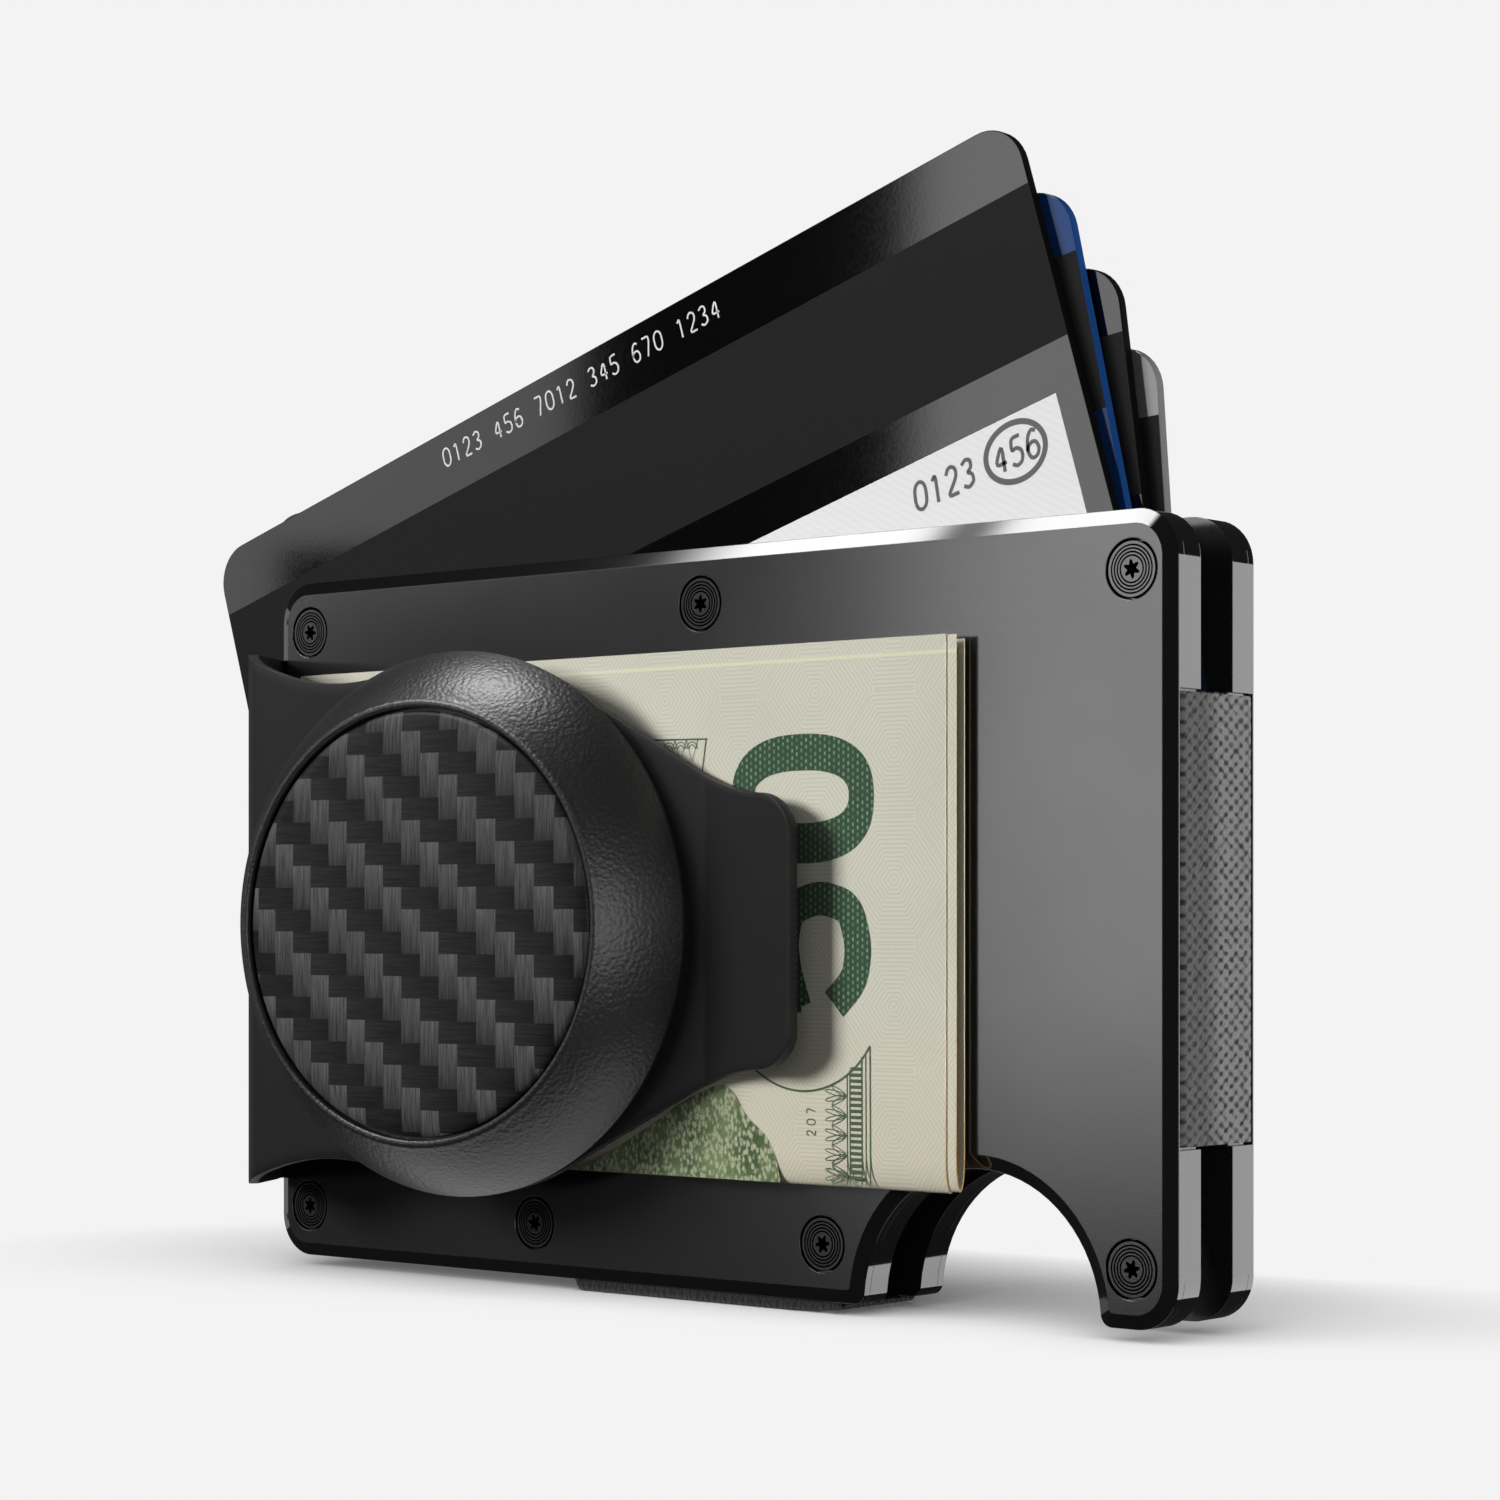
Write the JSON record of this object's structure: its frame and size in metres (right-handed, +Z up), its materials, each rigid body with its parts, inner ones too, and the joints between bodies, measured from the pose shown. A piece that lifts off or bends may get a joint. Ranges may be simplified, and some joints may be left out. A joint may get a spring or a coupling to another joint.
{
  "type": "card wallet",
  "caption": "Slim metal card wallet: two notched plates held by elastic, a sprung money clip with a round coin-tracker case, fanned cards and folded notes.",
  "frame": {"origin": "on the flat underside of the bottom elastic, under the middle of the plates and the middle of the card gap", "axes": "+X along the plates towards the side elastic, +Y through the plates from the clip side to the back, +Z up"},
  "size_m": [0.0966, 0.0233, 0.0823],
  "materials": {
    "anodised_plate": "bead-blasted dark anodising",
    "black_screw": "black turned steel, fine concentric grooves",
    "grey_elastic": "ribbed knit elastic",
    "black_clip": "satin black powder coat",
    "case_shell": "fine leather-grain moulding",
    "carbon_fibre": "clear-coated twill carbon fibre",
    "tracker_shell": "smooth moulding",
    "tracker_circuit": "solder-masked board",
    "cell_can": "nickel-plated can",
    "sounder_brass": "thin piezo plate",
    "spring_steel": "plain sprung strip",
    "card_black": "laminated card",
    "card_blue": "laminated card",
    "card_grey": "laminated card",
    "note_paper": "printed cotton paper"
  },
  "bodies": {
    "rear_frame": {"rear_outer_plate": "anodised_plate", "rear_inner_plate": "anodised_plate", "rear_screws": "black_screw", "side_elastic": "grey_elastic", "bottom_elastic": "grey_elastic"},
    "front_frame": {"front_outer_plate": "anodised_plate", "front_inner_plate": "anodised_plate", "front_screws": "black_screw", "clip_tab": "black_clip"},
    "clip": {"clip_leg": "black_clip", "carrier_cup": "case_shell", "carrier_screws": "black_screw", "tracker_base": "tracker_shell", "tracker_cover": "tracker_shell", "tracker_cell": "cell_can", "tracker_board": "tracker_circuit", "tracker_sounder": "sounder_brass", "tracker_contact": "spring_steel"},
    "case_cap": {"carrier_cap": "case_shell", "carbon_disc": "carbon_fibre"},
    "card_1": {"card_1": "card_black"},
    "card_2": {"card_2": "card_blue"},
    "card_3": {"card_3": "card_black"},
    "card_4": {"card_4": "card_grey"},
    "notes": {"banknote_1": "note_paper", "banknote_2": "note_paper", "banknote_3": "note_paper"}
  },
  "joints": [
    {"name": "frame_spread", "type": "slide", "parent": "rear_frame", "child": "front_frame", "axis": [0, -1, 0], "range_m": [0, 0.006], "stiffness_N_per_m": 250, "springref_m": -0.008, "deforming": ["side_elastic", "bottom_elastic"]},
    {"name": "clip_flex", "type": "hinge", "parent": "front_frame", "child": "clip", "pos_m": [-0.04362, -0.00477, 0.0279], "axis": [0, 0, -1], "range_deg": [0, 8], "stiffness_Nm_per_rad": 0.3, "springref_deg": -6.88},
    {"name": "cap_lift", "type": "slide", "parent": "clip", "child": "case_cap", "axis": [0.1288, -0.9917, 0], "range_m": [0, 0.012]},
    {"name": "notes_slide", "type": "slide", "parent": "front_frame", "child": "notes", "axis": [1, 0, 0], "range_m": [0, 0.07]},
    {"name": "card_1_fan", "type": "hinge", "parent": "rear_frame", "child": "card_1", "pos_m": [-0.05914, -0.00149, 0.01981], "axis": [0, -1, 0], "range_deg": [-16.96, 2]},
    {"name": "card_2_fan", "type": "hinge", "parent": "rear_frame", "child": "card_2", "pos_m": [-0.06743, -0.00054, 0.0174], "axis": [0, -1, 0], "range_deg": [-12.75, 2]},
    {"name": "card_3_fan", "type": "hinge", "parent": "rear_frame", "child": "card_3", "pos_m": [-0.09064, 0.00041, 0.00924], "axis": [0, -1, 0], "range_deg": [-7.8, 2]},
    {"name": "card_4_fan", "type": "hinge", "parent": "rear_frame", "child": "card_4", "pos_m": [-0.12254, 0.00136, -0.00466], "axis": [0, -1, 0], "range_deg": [-4.2, 2]}
  ]
}
